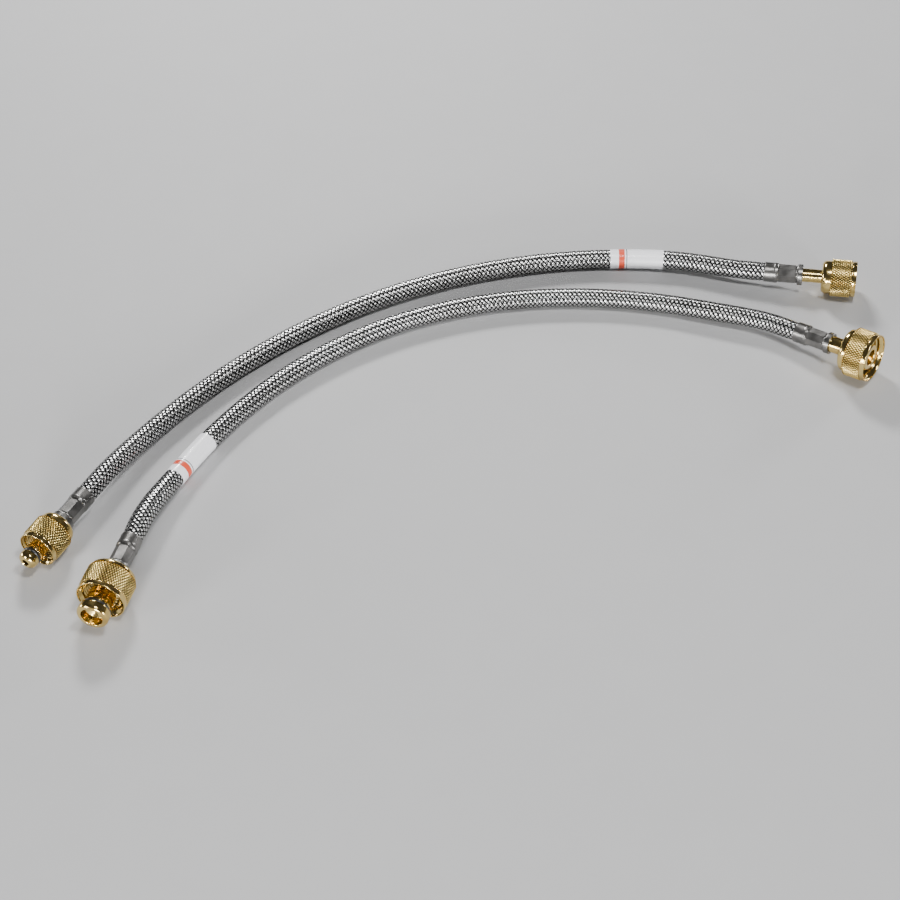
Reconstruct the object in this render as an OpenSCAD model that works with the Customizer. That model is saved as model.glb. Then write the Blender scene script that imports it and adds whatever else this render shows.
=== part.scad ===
// Pair of wire-braided gas hoses for a cylinder and its regulator. Each hose is a rubber inner
// tube in a woven wire sleeve, crimped at both ends under a steel ferrule onto a brass tailpiece.
// A knurled brass hand nut slides and turns on the tailpiece behind its sealing nose.
// Millimetres, +Z up, standing on z = 0. The origin is on the floor, midway between the fittings.

/* [Hose] */
// How far the hoses reach over the floor, in percent of the lengths below
reach = 100; // [80:1:150]
// Outside diameter of the woven wire sleeve on the free hose
hose_d = 11; // [9.5:0.1:12]
// Thickness of the woven wire sleeve
braid_t = 0.8; // [0.5:0.1:1.1]
// Bore of the rubber inner tube
hose_bore = 6.4; // [5.9:0.1:7]
// How much the crimp squeezes the sleeve, on the radius
crimp_squeeze = 0.85; // [0.6:0.05:1]
// How much the ferrule mouth squeezes the sleeve, on the radius
mouth_squeeze = 0.2; // [0.1:0.05:0.4]
// Straight length of hose outside each ferrule
exit_len = 11; // [8:0.5:14]
// Height of the lying sleeve above the floor
lie_gap = 0.3; // [0.25:0.05:0.6]

/* [Hose labels] */
// Thickness of the wrapped label
label_t = 0.15; // [0.1:0.01:0.2]
// Width of the front hose's label along the hose
front_label_w = 33; // [20:1:45]
// Distance of the front hose's label from its left ferrule
front_label_at = 51; // [30:1:120]
// Width of the rear hose's label along the hose
rear_label_w = 32; // [20:1:45]
// Distance of the rear hose's label from its left ferrule
rear_label_at = 368; // [300:1:390]

/* [Ferrules] */
// Length of a ferrule
ferrule_len = 22.5; // [21:0.5:26]
// Wall of a ferrule over the sleeve
ferrule_wall = 0.5; // [0.4:0.05:0.8]
// Diameter of the rolled lip that holds the tailpiece
lip_d = 12.4; // [11.5:0.1:13]
// Width of the rolled lip
lip_w = 3; // [2:0.1:4]
// Width of the groove behind the lip
lip_groove_w = 1; // [0.6:0.1:1.5]
// Distance from the lip face to the end of the crimp
crimp_end = 15; // [13:0.5:16.5]
// Width of the step from the crimp up to the mouth
crimp_step_w = 1.5; // [1:0.1:2]
// Number of crimp flats
crimp_flats = 8; // [6:1:12]

/* [Front left union] */
// Position of the lip face, to the right
fl_x = -183; // [-190:0.1:-176]
// Position of the lip face, to the back
fl_y = -104.5; // [-110:0.1:-98]
// Direction in which the nose points
fl_turn = 254.5; // [250:0.5:258]
// Diameter over the knurl
fl_nut_d = 26.6; // [25.8:0.1:28]
// Length of the nut
fl_nut_len = 18.4; // [17:0.1:22]
// Diameter of the plain band at the mouth
fl_rim_d = 26.2; // [25:0.1:27]
// Width of the plain band at the mouth
fl_rim_w = 2.5; // [1.5:0.1:3.5]
// Diameter of the collar behind the knurl
fl_collar_d = 25.2; // [23:0.1:26]
// Diameter of the back face
fl_back_d = 21.5; // [18:0.1:23]
// Width of the collar
fl_collar_w = 3.4; // [2.5:0.1:5]
// Width of the rounded part of the collar
fl_collar_round = 2.2; // [1:0.1:2.4]
// Thickness of the back wall
fl_back_t = 3.6; // [2.5:0.1:4.5]
// Diameter across the crests of the inside thread
fl_thread_d = 20.2; // [19.5:0.1:21]
// Wall of the plain band at the mouth
fl_rim_t = 0.7; // [0.65:0.05:1.8]
// Depth of the plain mouth, in front of the bevel down to the thread
fl_mouth_w = 0.8; // [0.4:0.1:2]
// Distance of the nut's back face from the lip face, slid back
fl_nut_at = 1.5; // [0.8:0.1:3]
// Diameter of the stem
fl_stem_d = 9.5; // [8.6:0.1:10.2]
// Diameter of the shoulder
fl_shoulder_d = 14; // [12.6:0.1:15]
// Distance of the shoulder from the lip face
fl_shoulder_at = 15.6; // [14:0.1:18]
// Distance of the seal groove from the lip face
fl_groove_at = 24.4; // [22:0.1:24.6]
// Diameter of the seal groove's floor
fl_groove_d = 11.8; // [11.2:0.1:12.2]
// Diameter of the nose
fl_nose_d = 17; // [16.2:0.1:17.6]
// Distance of the nose tip from the lip face
fl_tip_at = 31.5; // [30.5:0.1:34]
// Radius of the rounding on the nose
fl_nose_round = 1.8; // [1:0.1:2]
// Diameter of the socket in the nose
fl_socket_d = 11.6; // [10:0.1:12.4]
// Depth of the socket in the nose
fl_socket_deep = 5; // [3:0.1:7]

/* [Front right union] */
// Position of the lip face, to the right
fr_x = 205.7; // [198:0.1:212]
// Position of the lip face, to the back
fr_y = 64.7; // [58:0.1:72]
// Direction in which the nose points
fr_turn = -35.5; // [-40:0.5:-32]
// Slope of the fitting, nose up
fr_tilt = 6.5; // [4:0.5:7]
// Diameter over the knurl
fr_nut_d = 28.2; // [27.4:0.1:30]
// Length of the nut
fr_nut_len = 17.7; // [17.2:0.1:21]
// Diameter of the plain band at the mouth
fr_rim_d = 27.6; // [26.4:0.1:28]
// Width of the plain band at the mouth
fr_rim_w = 2.2; // [1.5:0.1:3.5]
// Diameter of the collar behind the knurl
fr_collar_d = 24.8; // [23:0.1:26]
// Diameter of the back face
fr_back_d = 20; // [18:0.1:22]
// Width of the collar
fr_collar_w = 4.7; // [4:0.1:6]
// Width of the rounded part of the collar
fr_collar_round = 3; // [1:0.1:3.8]
// Thickness of the back wall
fr_back_t = 3.5; // [2.5:0.1:4.5]
// Diameter across the crests of the inside thread
fr_thread_d = 22; // [20.5:0.1:22.6]
// Wall of the plain band at the mouth
fr_rim_t = 0.7; // [0.65:0.05:1.4]
// Depth of the plain mouth, in front of the bevel down to the thread
fr_mouth_w = 0.8; // [0.4:0.1:2]
// Diameter of the stem
fr_stem_d = 9.5; // [8.6:0.1:10.2]
// Diameter of the shoulder
fr_shoulder_d = 13; // [12.6:0.1:14]
// Distance of the shoulder from the lip face
fr_shoulder_at = 13.2; // [12:0.1:15]
// Distance of the seal groove from the lip face
fr_groove_at = 18.3; // [17.5:0.1:18.6]
// Diameter of the seal groove's floor
fr_groove_d = 10.8; // [10.4:0.1:11.4]
// Diameter of the nose
fr_nose_d = 15.4; // [14.8:0.1:16]
// Distance of the nose tip from the lip face
fr_tip_at = 24.4; // [23.5:0.1:25.8]
// Radius of the rounding on the nose
fr_nose_round = 1.2; // [0.6:0.1:1.6]
// Diameter of the socket in the nose
fr_socket_d = 9.4; // [8:0.1:10.6]
// Depth of the socket in the nose
fr_socket_deep = 3.4; // [2:0.1:5]

/* [Rear unions] */
// Position of the left lip face, to the right
rl_x = -215.9; // [-222:0.1:-210]
// Position of the left lip face, to the back
rl_y = -69.7; // [-76:0.1:-64]
// Direction in which the left nose points
rl_turn = 242; // [238:0.5:246]
// Position of the right lip face, to the right
rr_x = 196.9; // [190:0.1:204]
// Position of the right lip face, to the back
rr_y = 126.7; // [120:0.1:132]
// Direction in which the right nose points
rr_turn = -11; // [-15:0.5:-8]
// Slope of the right fitting, nose up
rr_tilt = 3; // [2:0.5:4]
// Diameter over the knurl
rn_nut_d = 21.8; // [21.2:0.1:24]
// Length of a nut
rn_nut_len = 20; // [19:0.1:23]
// Diameter of the plain band at the mouth
rn_rim_d = 21; // [20:0.1:21.2]
// Width of the plain band at the mouth
rn_rim_w = 2.2; // [1.5:0.1:3.5]
// Diameter of the collar behind the knurl
rn_collar_d = 19.6; // [19:0.1:20.4]
// Diameter of the back face
rn_back_d = 15; // [13:0.1:17]
// Width of the collar
rn_collar_w = 5.3; // [4.5:0.1:6.5]
// Width of the rounded part of the collar
rn_collar_round = 3; // [1:0.1:4.2]
// Thickness of the back wall
rn_back_t = 4; // [3:0.1:5]
// Diameter across the crests of the inside thread
rn_thread_d = 16.8; // [16:0.1:17.2]
// Wall of the plain band at the mouth
rn_rim_t = 0.65; // [0.65:0.05:1.3]
// Depth of the plain mouth, in front of the bevel down to the thread
rn_mouth_w = 0.8; // [0.4:0.1:2]
// Distance of the left nut's back face from the lip face, slid back
rl_nut_at = 1; // [0.8:0.1:2.5]
// Diameter of the stem
rn_stem_d = 8; // [7.4:0.1:8.4]
// Diameter of the shoulder
rn_shoulder_d = 9.8; // [9.3:0.1:10.4]
// Distance of the shoulder from the lip face
rn_shoulder_at = 16.3; // [15:0.1:18]
// Distance of the seal groove from the lip face
rn_groove_at = 24; // [21:0.1:24.4]
// Diameter of the seal groove's floor
rn_groove_d = 6.8; // [6.2:0.1:7.2]
// Diameter of the nose
rn_nose_d = 10.4; // [10:0.1:11]
// Distance of the nose tip from the lip face
rn_tip_at = 31; // [29.8:0.1:33]
// Height of the rounded end of the nose
rn_nose_round = 3; // [1.5:0.1:3.3]
// Diameter of the gas port in the nose
rn_port_d = 3.6; // [3.4:0.1:4.4]

/* [Shared details] */
// Width of a seal groove
groove_w = 2.2; // [2:0.1:2.3]
// Thickness of an O-ring
oring_t = 1.9; // [1.6:0.1:1.9]
// Thickness of a slip washer
washer_t = 1; // [0.6:0.1:1.4]
// Diameter of the hose tail over its barbs
tail_d = 5.4; // [4.8:0.1:5.8]
// Depth of the barbs
barb_h = 0.35; // [0.2:0.05:0.5]
// Number of barbs
barbs = 4; // [3:1:6]
// Length of the hose tail behind the lip face
tail_len = 20; // [17:0.5:21]
// Bore through a tailpiece
tail_bore = 3.4; // [2.4:0.1:3.4]
// Running clearance of a nut on its stem, on the radius
nut_clear = 0.08; // [0.04:0.01:0.1]
// Width of the groove between a knurl and the plain band
knurl_groove_w = 0.6; // [0.3:0.1:1]
// Depth of that groove below the plain band
knurl_groove_h = 0.3; // [0.1:0.05:0.5]
// Chamfer on the knurl's edges
knurl_edge = 0.35; // [0.1:0.05:0.5]

/* [Hidden] */
$fn = 64;

// The four ends, in this order
FL = 0;
FR = 1;
RL = 2;
RR = 3;

steel = "#8f9093";
brass = "#c9a24a";
rubber = "#161616";
paper = "#e6e6e4";

// Clearances
layer_gap = 0.1;
seat_gap = 0.05;
stop_gap = 0.1;
washer_gap = 0.1;
washer_play = 0.15;
pocket_play = 0.4;
back_stop = 0.3;
label_gap = 0.05;

// Rounding of turned edges, and of a ferrule's lip
edge = 0.4;
lip_round = 0.6;

// How far the ferrule's neck lies below its flats, and its step ring stands above its mouth
neck_drop = 0.15;
step_rise = 0.12;
step_slope = 0.7;

// Depth of the port in a blunt nose
port_deep = 4;

// Room between the hose's end and the lip wall
hose_room = 0.5;

// How far a cut runs past the face that it opens
overrun = 1;

// Where the rounding of a nut's back face starts, in degrees below its side
back_angle = 80;

// Number of flat sides of a swept tube
sides = 12;

// Radii of the hose: free, in the ferrule's mouth, and in the crimp
hose_r = hose_d / 2;
mouth_r = hose_r - mouth_squeeze;
crimp_r = hose_r - crimp_squeeze;
tail_r = tail_d / 2;
liner_r = hose_r - braid_t - layer_gap;
crimp_liner_r = crimp_r - braid_t - layer_gap;
crimp_bore_r = (tail_r + seat_gap) / cos(180 / sides);

// The hose ends just behind the ferrule's lip wall
hose_stop = lip_w + hose_room;
lie_z = hose_r + lie_gap;

// Round numbers chosen along each hose: right, back, lift above lying flat
front_points = [
  [-162, -40, 3.2], [-147, -10, 0], [-128, 18, 0], [-106, 44, 0],
  [-80, 66, 0], [-51, 85, 0], [-20, 98, 0], [12, 107, 0],
  [46, 111, 0], [80, 111, 0], [114, 106, 0], [146, 96, 1.6]
];
rear_points = [
  [-184, -10, 2.2], [-164, 17, 0], [-142, 43, 0], [-118, 66, 0],
  [-91, 87, 0], [-63, 105, 0], [-33, 120, 0], [-2, 132, 0],
  [31, 140, 0], [64, 145, 0], [98, 146, 0], [131, 142, 1.2]
];

// Sizes per end
nut_d = [fl_nut_d, fr_nut_d, rn_nut_d, rn_nut_d];
nut_len = [fl_nut_len, fr_nut_len, rn_nut_len, rn_nut_len];
rim_d = [fl_rim_d, fr_rim_d, rn_rim_d, rn_rim_d];
rim_w = [fl_rim_w, fr_rim_w, rn_rim_w, rn_rim_w];
collar_d = [fl_collar_d, fr_collar_d, rn_collar_d, rn_collar_d];
collar_w = [fl_collar_w, fr_collar_w, rn_collar_w, rn_collar_w];
collar_round = [fl_collar_round, fr_collar_round, rn_collar_round, rn_collar_round];
back_d = [fl_back_d, fr_back_d, rn_back_d, rn_back_d];
back_t = [fl_back_t, fr_back_t, rn_back_t, rn_back_t];
thread_d = [fl_thread_d, fr_thread_d, rn_thread_d, rn_thread_d];
rim_t = [fl_rim_t, fr_rim_t, rn_rim_t, rn_rim_t];
mouth_w = [fl_mouth_w, fr_mouth_w, rn_mouth_w, rn_mouth_w];
stem_d = [fl_stem_d, fr_stem_d, rn_stem_d, rn_stem_d];
shoulder_d = [fl_shoulder_d, fr_shoulder_d, rn_shoulder_d, rn_shoulder_d];
shoulder_at = [fl_shoulder_at, fr_shoulder_at, rn_shoulder_at, rn_shoulder_at];
groove_at = [fl_groove_at, fr_groove_at, rn_groove_at, rn_groove_at];
groove_d = [fl_groove_d, fr_groove_d, rn_groove_d, rn_groove_d];
nose_d = [fl_nose_d, fr_nose_d, rn_nose_d, rn_nose_d];
tip_at = [fl_tip_at, fr_tip_at, rn_tip_at, rn_tip_at];

// Room that the back wall, the washer and their gaps take behind the shoulder
function stack(e) = back_t[e] + washer_gap + washer_t + stop_gap;

// Distance of each nut's back face from the lip face: left nuts slid back, right nuts forward
nut_at = [fl_nut_at, fr_shoulder_at - stack(FR), rl_nut_at, rn_shoulder_at - stack(RR)];

// Place of each end: the centre of the lip face, with the nose along local +Z
spread = reach / 100;
end_x = spread * [fl_x, fr_x, rl_x, rr_x];
end_y = spread * [fl_y, fr_y, rl_y, rr_y];
end_turn = [fl_turn, fr_turn, rl_turn, rr_turn];
end_tilt = [0, fr_tilt, 0, rr_tilt];

// Each nut's knurl rests on the floor at its rear edge
function knurl_at(e) = nut_at[e] + collar_w[e] + knurl_edge;
function end_z(e) = nut_d[e] / 2 * cos(end_tilt[e]) - knurl_at(e) * sin(end_tilt[e]);
function end_pos(e) = [end_x[e], end_y[e], end_z(e)];
function end_axis(e) = [
  cos(end_tilt[e]) * cos(end_turn[e]),
  cos(end_tilt[e]) * sin(end_turn[e]),
  sin(end_tilt[e])
];

module at_end(e) {
  translate(end_pos(e))
    rotate([0, 90 - end_tilt[e], end_turn[e]])
      children();
}

// A quarter ellipse of points from angle a0 to a1 about [r, t]
function arc(r, t, w, h, a0, a1, n = 8) = [
  for (i = [0:n]) [
    r + w * cos(a0 + (a1 - a0) * i / n),
    t + h * sin(a0 + (a1 - a0) * i / n)
  ]
];

// ---- hose route ----

function unit(v) = v / norm(v);
function side_of(d) = unit(cross([0, 0, 1], d));

// A station is [centre, side, up], with the hose running along d
function station(c, d) = [c, side_of(d), cross(d, side_of(d))];

// Distances from the ferrule's mouth, along the hose, of the stations at each end
end_runs = [hose_stop - ferrule_len, crimp_end - ferrule_len, 0, exit_len];

function end_station(e, run, dir) = station(
  end_pos(e) - (ferrule_len + run) * end_axis(e),
  dir * end_axis(e)
);

function route(a, b, points) = let (
  n = len(points),
  mid = [for (p = points) [spread * p[0], spread * p[1], lie_z + p[2]]],
  first = end_station(a, exit_len, -1)[0],
  last = end_station(b, exit_len, 1)[0],
  line = concat([first], mid, [last])
) concat(
  [for (i = [0:3]) end_station(a, end_runs[i], -1)],
  [for (i = [1:n]) station(line[i], unit(line[i + 1] - line[i - 1]))],
  [for (i = [3:-1:0]) end_station(b, end_runs[i], 1)]
);

front_route = route(FL, FR, front_points);
rear_route = route(RL, RR, rear_points);

// A value that changes in the ferrules: crimp, crimp, mouth, then free
function along(st, crimp, mouth, free) = let (n = len(st)) [
  for (i = [0:n - 1])
    let (k = min(i, n - 1 - i)) k < 2 ? crimp : k == 2 ? mouth : free
];

function ring(s, r) = [
  for (j = [0:sides - 1])
    s[0] + r * (cos(360 * j / sides) * s[1] + sin(360 * j / sides) * s[2])
];

// A hollow tube through stations st, with outer radii ro and inner radii ri
module swept_tube(st, ro, ri) {
  n = len(st);
  m = sides;
  pts = concat(
    [for (i = [0:n - 1]) each ring(st[i], ro[i])],
    [for (i = [0:n - 1]) each ring(st[i], ri[i])]
  );
  in0 = n * m;
  skin = [
    for (i = [0:n - 2], j = [0:m - 1])
      let (a = i * m + j, b = i * m + (j + 1) % m)
        each [[a, a + m, b + m], [a, b + m, b],
              [in0 + a, in0 + b + m, in0 + a + m], [in0 + a, in0 + b, in0 + b + m]]
  ];
  caps = [
    for (j = [0:m - 1])
      let (k = (j + 1) % m, z = (n - 1) * m)
        each [[j, k, in0 + k], [j, in0 + k, in0 + j],
              [z + j, in0 + z + k, z + k], [z + j, in0 + z + j, in0 + z + k]]
  ];
  polyhedron(pts, concat(skin, caps));
}

module braid(st) {
  ro = along(st, crimp_r, mouth_r, hose_r);
  color(steel)
    swept_tube(st, ro, [for (r = ro) r - braid_t]);
}

module liner(st) {
  ro = along(st, crimp_liner_r, mouth_r - braid_t - layer_gap, liner_r);
  ri = along(st, crimp_bore_r, (crimp_bore_r + hose_bore / 2) / 2, hose_bore / 2);
  color(rubber)
    swept_tube(st, ro, ri);
}

// Lengths along the stations, from the left ferrule's mouth
function steps(st) = [for (i = [1:len(st) - 1]) norm(st[i][0] - st[i - 1][0])];
function sums(v, i = 0, s = 0) = i == len(v) ? [s] : concat([s], sums(v, i + 1, s + v[i]));
function lengths(st) = let (v = sums(steps(st))) [for (x = v) x - v[2]];

function between(a, b, f) = [for (k = [0:2]) a[k] + (b[k] - a[k]) * f];
function station_at(st, at, x, i = 0) =
  x <= at[i + 1]
    ? between(st[i], st[i + 1], (x - at[i]) / (at[i + 1] - at[i]))
    : station_at(st, at, x, i + 1);

module label(st, x0, w) {
  at = lengths(st);
  inner = [for (i = [0:len(st) - 1]) if (at[i] > x0 && at[i] < x0 + w) st[i]];
  wrap = concat([station_at(st, at, x0)], inner, [station_at(st, at, x0 + w)]);
  ri = [for (s = wrap) hose_r + label_gap];
  color(paper)
    swept_tube(wrap, [for (r = ri) r + label_t], ri);
}

// ---- ferrule ----

// Bore of the ferrule: round the stem, over the crimp, and at the mouth
ferrule_crimp_r = crimp_r + seat_gap;
ferrule_mouth_r = mouth_r + seat_gap;
crimp_flat_r = ferrule_crimp_r + ferrule_wall;
bell_r = ferrule_mouth_r + ferrule_wall;
bell_at = crimp_end + crimp_step_w;

module ferrule(e) {
  lip_r = lip_d / 2;
  neck_r = crimp_flat_r - neck_drop;
  bore_r = stem_d[e] / 2 + seat_gap;
  color(steel)
    at_end(e)
      difference() {
        union() {
          rotate_extrude()
            polygon(concat(
              [[0, 0]],
              arc(lip_r - lip_round, -lip_round, lip_round, lip_round, 90, 0, 4),
              arc(lip_r - lip_round, -lip_w + lip_round, lip_round, lip_round, 0, -90, 4),
              [[neck_r, -lip_w - 0.2], [neck_r, -lip_w - lip_groove_w - 0.5],
               [0, -lip_w - lip_groove_w - 0.5]]
            ));
          intersection() {
            translate([0, 0, -crimp_end - 0.5])
              rotate([0, 0, 180 / crimp_flats])
                cylinder(h = crimp_end - lip_w - lip_groove_w + 0.5,
                         r = crimp_flat_r / cos(180 / crimp_flats), $fn = crimp_flats);
            translate([0, 0, -crimp_end - 0.5])
              rotate_extrude()
                polygon([[0, 0], [bell_r, 0],
                         [bell_r, crimp_end - lip_w - lip_groove_w - 0.1],
                         [crimp_flat_r, crimp_end - lip_w - lip_groove_w + 0.5],
                         [0, crimp_end - lip_w - lip_groove_w + 0.5]]);
          }
          rotate_extrude()
            polygon(concat(
              [[0, -crimp_end], [crimp_flat_r, -crimp_end]],
              [[bell_r + step_rise, -crimp_end - step_slope], [bell_r + step_rise, -bell_at],
               [bell_r, -bell_at - 0.15]],
              arc(bell_r - 0.2, -ferrule_len + 0.2, 0.2, 0.2, 0, -90, 3),
              [[0, -ferrule_len]]
            ));
        }
        rotate_extrude()
          polygon([
            [0, overrun], [bore_r, overrun], [bore_r, -lip_w],
            [ferrule_crimp_r, -lip_w], [ferrule_crimp_r, -crimp_end],
            [ferrule_mouth_r, -bell_at],
            [ferrule_mouth_r, -ferrule_len - overrun], [0, -ferrule_len - overrun]
          ]);
      }
}

// ---- tailpiece ----

// The barbed tail, from its free end up to the ferrule's lip wall
barb_pitch = (tail_len - hose_stop - 1) / barbs;
barb_points = [
  for (i = [0:barbs - 1])
    let (t = -tail_len + i * barb_pitch)
      each [[tail_r - barb_h, t], [tail_r, t + barb_pitch * 0.75],
            [tail_r, t + barb_pitch * 0.85], [tail_r - barb_h, t + barb_pitch * 0.9]]
];

// The body between the tail and the nose: stem, shoulder and seal groove
function body_points(e) = let (
  r = stem_d[e] / 2,
  s = shoulder_d[e] / 2,
  g = groove_d[e] / 2,
  t = shoulder_at[e],
  u = groove_at[e]
) [
  [tail_r - barb_h, -lip_w + seat_gap], [r, -lip_w + seat_gap],
  [r, t], [s - edge, t], [s, t + edge],
  [s, u - edge], [s - edge, u], [g, u], [g, u + groove_w]
];

module tailpiece(e, nose) {
  color(brass)
    at_end(e)
      rotate_extrude()
        polygon(concat(barb_points, body_points(e), nose,
                       [[tail_bore / 2, -tail_len]]));
}

// A nose with a rounded rim and a socket that narrows to the bore
function socket_nose(e, rim, socket_d, deep) = let (
  r = nose_d[e] / 2,
  t0 = groove_at[e] + groove_w,
  t1 = tip_at[e],
  k = socket_d / 2,
  b = tail_bore / 2
) concat(
  arc(r - edge, t0 + edge, edge, edge, -90, 0, 3),
  arc(r - rim, t1 - rim, rim, rim, 0, 90, 8),
  arc(k + edge, t1 - edge, edge, edge, 90, 180, 4),
  [[k, t1 - deep], [b, t1 - deep - (k - b) * 0.6]]
);

// A blunt rounded nose with a small port
function blunt_nose(e, rim, port_d) = let (
  r = nose_d[e] / 2,
  t0 = groove_at[e] + groove_w,
  t1 = tip_at[e],
  p = port_d / 2
) concat(
  arc(r - edge, t0 + edge, edge, edge, -90, 0, 3),
  arc(p + edge, t1 - rim, r - p - edge, rim, 0, 90, 10),
  [[p, t1 - edge], [p, t1 - port_deep], [tail_bore / 2, t1 - port_deep]]
);

module oring(e) {
  color(rubber)
    at_end(e)
      translate([0, 0, groove_at[e] + groove_w / 2])
        rotate_extrude()
          translate([groove_d[e] / 2 + oring_t / 2 + seat_gap, 0])
            circle(d = oring_t, $fn = 32);
}

// ---- hand nut and its slip washer ----

// The washer fits the pocket behind the thread
function washer_r(e) = thread_d[e] / 2 - pocket_play;

module washer(e) {
  color(steel)
    at_end(e)
      translate([0, 0, nut_at[e] + back_t[e] + washer_gap])
        rotate_extrude()
          translate([stem_d[e] / 2 + washer_play, 0])
            square([washer_r(e) - stem_d[e] / 2 - washer_play, washer_t]);
}

// Outline of a hand nut: back wall, rounded collar, knurl, groove, plain band and mouth
function nut_points(e) = let (
  b = stem_d[e] / 2 + nut_clear,
  k = nut_d[e] / 2,
  c = collar_d[e] / 2,
  f = back_d[e] / 2,
  q = rim_d[e] / 2,
  n = nut_len[e],
  h = n - rim_w[e],
  v = thread_d[e] / 2,
  m = q - rim_t[e]
) concat(
  [[b, edge], [b + edge, 0], [f, 0]],
  arc(f, collar_round[e], c - f, collar_round[e], -back_angle, 0, 8),
  [[c, collar_w[e]], [k - knurl_edge, collar_w[e]], [k, collar_w[e] + knurl_edge]],
  [[k, h - knurl_groove_w - knurl_edge], [k - knurl_edge, h - knurl_groove_w]],
  [[q - knurl_groove_h, h - knurl_groove_w], [q - knurl_groove_h, h]],
  [[q - 0.1, h], [q, h + 0.1]],
  arc(q - edge, n - edge, edge, edge, 0, 90, 4),
  arc(m + edge / 2, n - edge / 2, edge / 2, edge / 2, 90, 180, 3),
  [[m, n - mouth_w[e]], [v, n - mouth_w[e] - (m - v)]],
  [[v, back_t[e]], [b, back_t[e]]]
);

module nut(e) {
  color(brass)
    at_end(e)
      translate([0, 0, nut_at[e]])
        rotate_extrude()
          polygon(nut_points(e));
}

// ---- the nodes ----

module front_braid() { braid(front_route); }
module front_liner() { liner(front_route); }
module front_label() { label(front_route, spread * front_label_at, front_label_w); }
module rear_braid() { braid(rear_route); }
module rear_liner() { liner(rear_route); }
module rear_label() { label(rear_route, spread * rear_label_at, rear_label_w); }

module front_left_ferrule() { ferrule(FL); }
module front_left_tailpiece() {
  tailpiece(FL, socket_nose(FL, fl_nose_round, fl_socket_d, fl_socket_deep));
}
module front_left_oring() { oring(FL); }
module front_left_washer() { washer(FL); }
module front_left_nut() { nut(FL); }

module front_right_ferrule() { ferrule(FR); }
module front_right_tailpiece() {
  tailpiece(FR, socket_nose(FR, fr_nose_round, fr_socket_d, fr_socket_deep));
}
module front_right_oring() { oring(FR); }
module front_right_washer() { washer(FR); }
module front_right_nut() { nut(FR); }

module rear_left_ferrule() { ferrule(RL); }
module rear_left_tailpiece() { tailpiece(RL, blunt_nose(RL, rn_nose_round, rn_port_d)); }
module rear_left_oring() { oring(RL); }
module rear_left_washer() { washer(RL); }
module rear_left_nut() { nut(RL); }

module rear_right_ferrule() { ferrule(RR); }
module rear_right_tailpiece() { tailpiece(RR, blunt_nose(RR, rn_nose_round, rn_port_d)); }
module rear_right_oring() { oring(RR); }
module rear_right_washer() { washer(RR); }
module rear_right_nut() { nut(RR); }

front_braid();
front_liner();
front_label();
rear_braid();
rear_liner();
rear_label();
front_left_ferrule();
front_left_tailpiece();
front_left_oring();
front_left_washer();
front_left_nut();
front_right_ferrule();
front_right_tailpiece();
front_right_oring();
front_right_washer();
front_right_nut();
rear_left_ferrule();
rear_left_tailpiece();
rear_left_oring();
rear_left_washer();
rear_left_nut();
rear_right_ferrule();
rear_right_tailpiece();
rear_right_oring();
rear_right_washer();
rear_right_nut();
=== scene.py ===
"""Looks for a pair of wire-braided gas hoses with steel ferrules and brass hand nuts.

Sizes are in millimetres until a mesh is made, and metres in Blender. Each fitting is
built along its own axis, with t measured from the ferrule's lip face towards the nose,
and is then carried to its end of the hose. Round pieces are profiles turned about that
axis, and the woven sleeve is a set of flat wire tapes wound along the hose's
centreline, each passing over and under the tapes that cross it.
"""

import math

import bpy
import numpy as np
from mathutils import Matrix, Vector


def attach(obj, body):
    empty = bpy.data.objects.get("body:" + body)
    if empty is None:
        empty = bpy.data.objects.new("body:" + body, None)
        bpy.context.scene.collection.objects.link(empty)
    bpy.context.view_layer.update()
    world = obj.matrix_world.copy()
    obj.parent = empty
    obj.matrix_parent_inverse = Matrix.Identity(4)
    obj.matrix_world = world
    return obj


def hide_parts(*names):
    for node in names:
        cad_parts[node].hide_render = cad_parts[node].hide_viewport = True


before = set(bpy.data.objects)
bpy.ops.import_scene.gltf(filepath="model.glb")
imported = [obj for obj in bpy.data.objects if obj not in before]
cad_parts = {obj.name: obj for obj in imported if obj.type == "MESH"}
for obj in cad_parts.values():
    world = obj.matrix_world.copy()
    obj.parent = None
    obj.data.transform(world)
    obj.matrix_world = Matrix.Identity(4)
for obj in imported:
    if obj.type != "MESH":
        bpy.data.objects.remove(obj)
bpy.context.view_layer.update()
MM = 0.001
ROOT = "hoses"
FULL_TURN = 2 * math.pi

# ---------------------------------------------------------------- camera

CAMERA_AT = Vector((-0.0121, -0.7493, 0.7842))
LOOKED_AT = Vector((-0.0121, -0.0067, 0.0))

camera_data = bpy.data.cameras.new("camera")
camera_data.sensor_width = 36.0
camera_data.lens = 78.6
camera_data.clip_end = 50.0
camera = bpy.data.objects.new("camera", camera_data)
bpy.context.scene.collection.objects.link(camera)
camera.location = CAMERA_AT
camera.rotation_euler = (LOOKED_AT - CAMERA_AT).to_track_quat("-Z", "Y").to_euler()
bpy.context.scene.camera = camera

# ---------------------------------------------------------------- sizes

# Hose: outside of the sleeve, outside and bore of the rubber tube under it
HOSE_R = 5.5
LINER_R = 4.6
LINER_BORE_R = 3.2
# Straight hose outside each ferrule, and height of the lying hose's centreline
EXIT_LEN = 11.0
LIE_Z = 5.8

# Ferrule: rolled lip, groove, crimp with flats, step and plain mouth
FERRULE_LEN = 22.5
LIP_W = 3.0
LIP_R = 6.2
LIP_GROOVE_W = 1.0
CRIMP_END = 15.0
CRIMP_STEP_W = 1.5
CRIMP_FLATS = 8
CRIMP_FLAT_R = 5.2
FERRULE_CRIMP_R = 4.7
FERRULE_MOUTH_R = 5.35
BELL_R = 5.85
# Where the hose's cut end stops inside the ferrule
HOSE_STOP = 3.5

# Tailpiece, seal and washer
TAIL_R = 2.7
TAIL_LEN = 20.0
TAIL_BORE_R = 1.7
SEAL_GROOVE_W = 2.2
ORING_T = 1.9
WASHER_T = 1.0

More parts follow.
